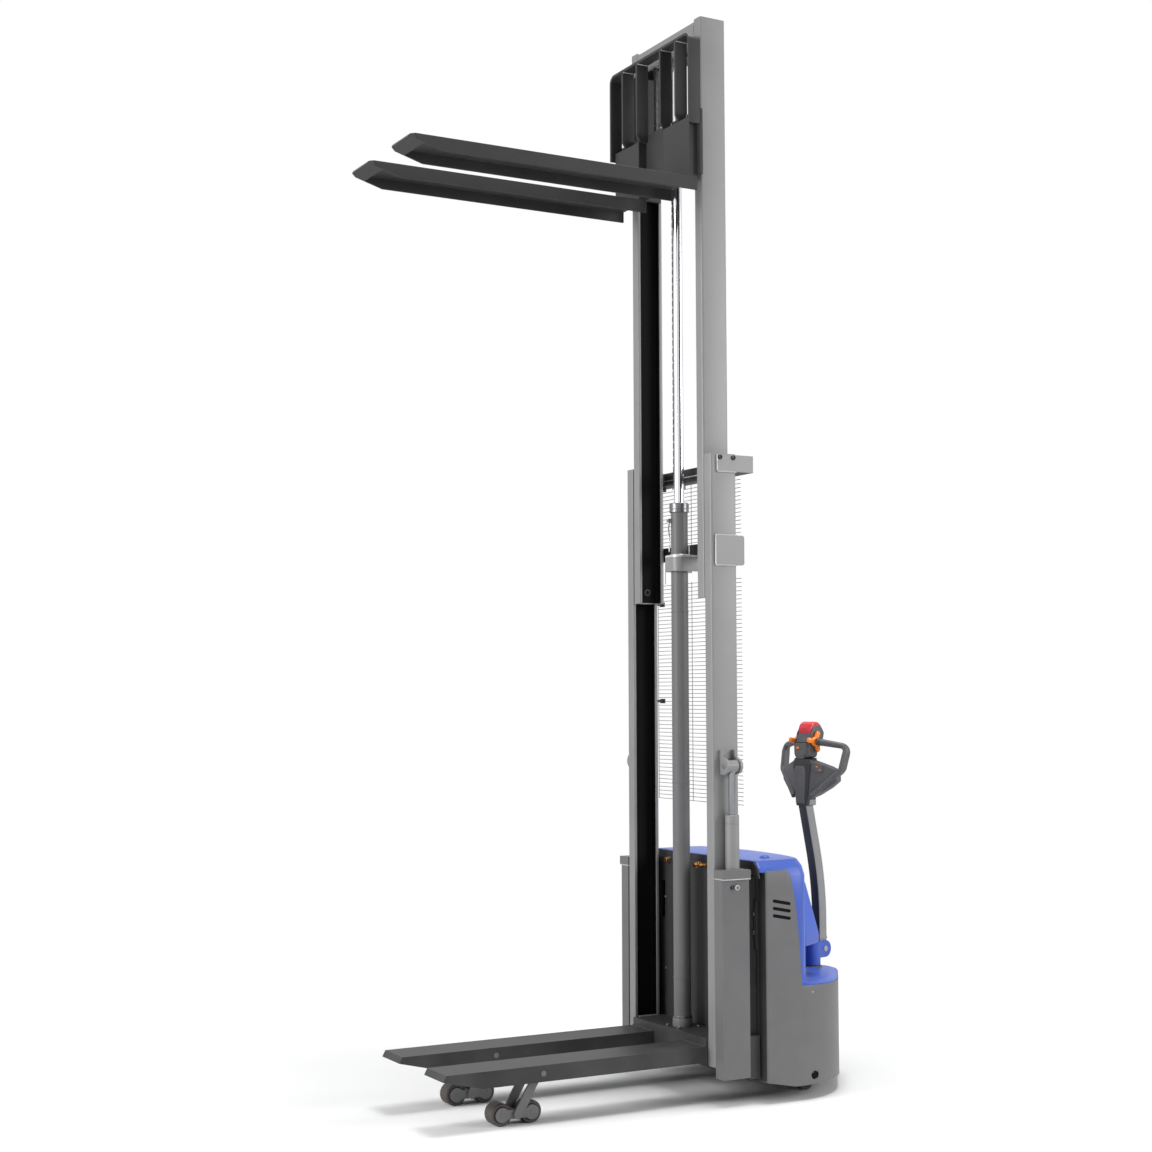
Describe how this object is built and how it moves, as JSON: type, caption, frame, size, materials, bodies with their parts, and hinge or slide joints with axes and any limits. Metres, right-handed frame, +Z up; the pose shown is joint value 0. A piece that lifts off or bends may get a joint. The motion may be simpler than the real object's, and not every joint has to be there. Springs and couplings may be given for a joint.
{
  "type": "electric stacker",
  "caption": "Pedestrian electric stacker with a two-stage mast, forks over liftable support legs and a tiller.",
  "frame": {"origin": "centre of the bounding box at the floor", "axes": "+X from the fork tips to the operator, +Y to the machine's far side, +Z up"},
  "size_m": [1.982, 0.79, 4.096],
  "materials": {
    "mast_paint": "satin mid grey paint",
    "body_paint": "satin grey paint",
    "dark_paint": "satin anthracite paint",
    "blue_paint": "satin blue paint",
    "battery_case": "black case",
    "brass_fitting": "bare brass",
    "screw_steel": "zinc plated",
    "red_plastic": "semi gloss",
    "guard_wire": "dark coated wire",
    "chrome_rod": "hard chrome",
    "chain_steel": "oiled",
    "pulley_iron": "machined",
    "roller_steel": "hardened",
    "wheel_tread": "black tread",
    "roller_tread": "black polyurethane",
    "grip_plastic": "fine grain",
    "orange_plastic": "fine grain"
  },
  "bodies": {
    "chassis": {"chassis_frame": "dark_paint", "guide_box_near": "body_paint", "guide_box_far": "body_paint", "side_panel_near": "body_paint", "side_panel_far": "body_paint", "top_cover": "blue_paint", "steering_deck": "blue_paint", "battery_pack": "battery_case", "hydraulic_power_unit": "body_paint", "lift_jack_barrels": "mast_paint", "bulkhead_fittings": "brass_fitting", "panel_screws": "screw_steel"},
    "stop_button": {"emergency_stop": "red_plastic"},
    "load_frame": {"outer_column_near": "mast_paint", "outer_column_far": "mast_paint", "outer_top_crossmember": "mast_paint", "outer_mid_crossmember": "mast_paint", "base_crossmember": "mast_paint", "leg_near": "mast_paint", "leg_far": "mast_paint", "lift_cylinder": "mast_paint", "mesh_guard": "guard_wire", "lift_jack_rods": "chrome_rod", "lift_jack_lugs": "mast_paint", "chain_rear_runs": "chain_steel"},
    "inner_mast": {"inner_column_near": "mast_paint", "inner_column_far": "mast_paint", "inner_top_crossmember": "mast_paint", "lift_rod": "chrome_rod", "chain_wraps": "chain_steel"},
    "pulleys": {"chain_pulleys": "pulley_iron"},
    "mast_roller_pair": {"mast_rollers": "roller_steel"},
    "fork_carriage": {"carriage_plate": "dark_paint", "load_backrest": "dark_paint", "fork_near": "dark_paint", "fork_far": "dark_paint", "chain_front_runs": "chain_steel"},
    "upper_rollers": {"carriage_rollers_upper": "roller_steel"},
    "lower_rollers": {"carriage_rollers_lower": "roller_steel"},
    "arm_near": {"roller_arm_near": "dark_paint"},
    "arm_far": {"roller_arm_far": "dark_paint"},
    "bogie_frame_near": {"bogie_near": "dark_paint"},
    "bogie_frame_far": {"bogie_far": "dark_paint"},
    "roller_nf": {"load_roller_near_front": "roller_tread"},
    "roller_nr": {"load_roller_near_rear": "roller_tread"},
    "roller_ff": {"load_roller_far_front": "roller_tread"},
    "roller_fr": {"load_roller_far_rear": "roller_tread"},
    "steering": {"steering_bracket": "blue_paint", "traction_motor": "dark_paint"},
    "wheel": {"drive_wheel": "wheel_tread"},
    "tiller": {"tiller_arm": "body_paint", "tiller_head": "grip_plastic"},
    "throttle": {"throttle_wings": "orange_plastic"},
    "belly": {"belly_switch": "red_plastic"},
    "rocker": {"lift_rocker": "grip_plastic"},
    "horn": {"horn_button": "grip_plastic"},
    "swivel_near": {"caster_fork_near": "dark_paint"},
    "swivel_far": {"caster_fork_far": "dark_paint"},
    "caster_near": {"caster_wheel_near": "wheel_tread"},
    "caster_far": {"caster_wheel_far": "wheel_tread"}
  },
  "joints": [
    {"name": "initial_lift", "type": "slide", "parent": "chassis", "child": "load_frame", "axis": [0, 0, 1], "range_m": [-0.12, 0]},
    {"name": "mast_lift", "type": "slide", "parent": "load_frame", "child": "inner_mast", "axis": [0, 0, 1], "range_m": [-1.621, 0], "deforming": ["chain_rear_runs"]},
    {"name": "carriage_lift", "type": "slide", "parent": "inner_mast", "child": "fork_carriage", "axis": [0, 0, 1], "range_m": [-1.621, 0], "deforming": ["chain_front_runs"]},
    {"name": "pulley_spin", "type": "hinge", "parent": "inner_mast", "child": "pulleys", "pos_m": [0.284, 0, 4.036], "axis": [0, 1, 0], "continuous": true},
    {"name": "mast_roller_spin", "type": "hinge", "parent": "inner_mast", "child": "mast_roller_pair", "pos_m": [0.2805, 0, 1.911], "axis": [0, 1, 0], "continuous": true},
    {"name": "upper_roller_spin", "type": "hinge", "parent": "fork_carriage", "child": "upper_rollers", "pos_m": [0.2805, 0, 3.94], "axis": [0, 1, 0], "continuous": true},
    {"name": "lower_roller_spin", "type": "hinge", "parent": "fork_carriage", "child": "lower_rollers", "pos_m": [0.2805, 0, 3.54], "axis": [0, 1, 0], "continuous": true},
    {"name": "near_arm_pivot", "type": "hinge", "parent": "load_frame", "child": "arm_near", "pos_m": [-0.464, -0.187, 0.178], "axis": [0, 1, 0], "range_deg": [0, 53.14]},
    {"name": "near_bogie_pivot", "type": "hinge", "parent": "arm_near", "child": "bogie_frame_near", "pos_m": [-0.54497, -0.187, 0.04], "axis": [0, 1, 0], "range_deg": [-53.14, 0]},
    {"name": "near_front_roller", "type": "hinge", "parent": "bogie_frame_near", "child": "roller_nf", "pos_m": [-0.60297, -0.187, 0.04], "axis": [0, 1, 0], "continuous": true},
    {"name": "near_rear_roller", "type": "hinge", "parent": "bogie_frame_near", "child": "roller_nr", "pos_m": [-0.48697, -0.187, 0.04], "axis": [0, 1, 0], "continuous": true},
    {"name": "far_arm_pivot", "type": "hinge", "parent": "load_frame", "child": "arm_far", "pos_m": [-0.464, 0.187, 0.178], "axis": [0, 1, 0], "range_deg": [0, 53.14]},
    {"name": "far_bogie_pivot", "type": "hinge", "parent": "arm_far", "child": "bogie_frame_far", "pos_m": [-0.54497, 0.187, 0.04], "axis": [0, 1, 0], "range_deg": [-53.14, 0]},
    {"name": "far_front_roller", "type": "hinge", "parent": "bogie_frame_far", "child": "roller_ff", "pos_m": [-0.60297, 0.187, 0.04], "axis": [0, 1, 0], "continuous": true},
    {"name": "far_rear_roller", "type": "hinge", "parent": "bogie_frame_far", "child": "roller_fr", "pos_m": [-0.48697, 0.187, 0.04], "axis": [0, 1, 0], "continuous": true},
    {"name": "steering", "type": "hinge", "parent": "chassis", "child": "steering", "pos_m": [0.892, 0, 0.2], "axis": [0, 0, 1], "range_deg": [-104, 76]},
    {"name": "drive_spin", "type": "hinge", "parent": "steering", "child": "wheel", "pos_m": [0.892, 0, 0.088], "axis": [-0.2419, 0.9703, 0], "continuous": true},
    {"name": "tiller_tilt", "type": "hinge", "parent": "steering", "child": "tiller", "pos_m": [0.93663, 0.01113, 0.487], "axis": [-0.2419, 0.9703, 0], "range_deg": [0, 80]},
    {"name": "throttle_turn", "type": "hinge", "parent": "tiller", "child": "throttle", "pos_m": [0.86483, -0.00677, 1.314], "axis": [-0.2419, 0.9703, 0], "range_deg": [-30, 30], "stiffness_Nm_per_rad": 0.6},
    {"name": "belly_press", "type": "slide", "parent": "tiller", "child": "belly", "axis": [0, 0, -1], "range_m": [0, 0.009], "stiffness_N_per_m": 400},
    {"name": "horn_press", "type": "slide", "parent": "tiller", "child": "horn", "axis": [0.9703, 0.2419, 0], "range_m": [0, 0.004], "stiffness_N_per_m": 400},
    {"name": "lift_rocker_tilt", "type": "hinge", "parent": "tiller", "child": "rocker", "pos_m": [0.87463, -0.07792, 1.208], "axis": [-0.6198, 0.7848, 0], "range_deg": [-8, 8], "stiffness_Nm_per_rad": 0.5},
    {"name": "stop_press", "type": "slide", "parent": "chassis", "child": "stop_button", "axis": [-0.9598, 0, -0.2806], "range_m": [0, 0.005], "stiffness_N_per_m": 800},
    {"name": "near_caster_swivel", "type": "hinge", "parent": "chassis", "child": "swivel_near", "pos_m": [0.698, -0.235, 0.09], "axis": [0, 0, 1], "continuous": true},
    {"name": "near_caster_roll", "type": "hinge", "parent": "swivel_near", "child": "caster_near", "pos_m": [0.674, -0.235, 0.04], "axis": [0, 1, 0], "continuous": true},
    {"name": "far_caster_swivel", "type": "hinge", "parent": "chassis", "child": "swivel_far", "pos_m": [0.698, 0.235, 0.09], "axis": [0, 0, 1], "continuous": true},
    {"name": "far_caster_roll", "type": "hinge", "parent": "swivel_far", "child": "caster_far", "pos_m": [0.674, 0.235, 0.04], "axis": [0, 1, 0], "continuous": true}
  ],
  "couplings": [
    {"joint": "carriage_lift", "follows": "mast_lift", "ratio": 1},
    {"joint": "pulley_spin", "follows": "mast_lift", "rad_per_m": -25},
    {"joint": "near_arm_pivot", "follows": "initial_lift", "rad_per_m": -7.7288},
    {"joint": "far_arm_pivot", "follows": "initial_lift", "rad_per_m": -7.7288},
    {"joint": "near_bogie_pivot", "follows": "initial_lift", "rad_per_m": 7.7288},
    {"joint": "far_bogie_pivot", "follows": "initial_lift", "rad_per_m": 7.7288}
  ]
}
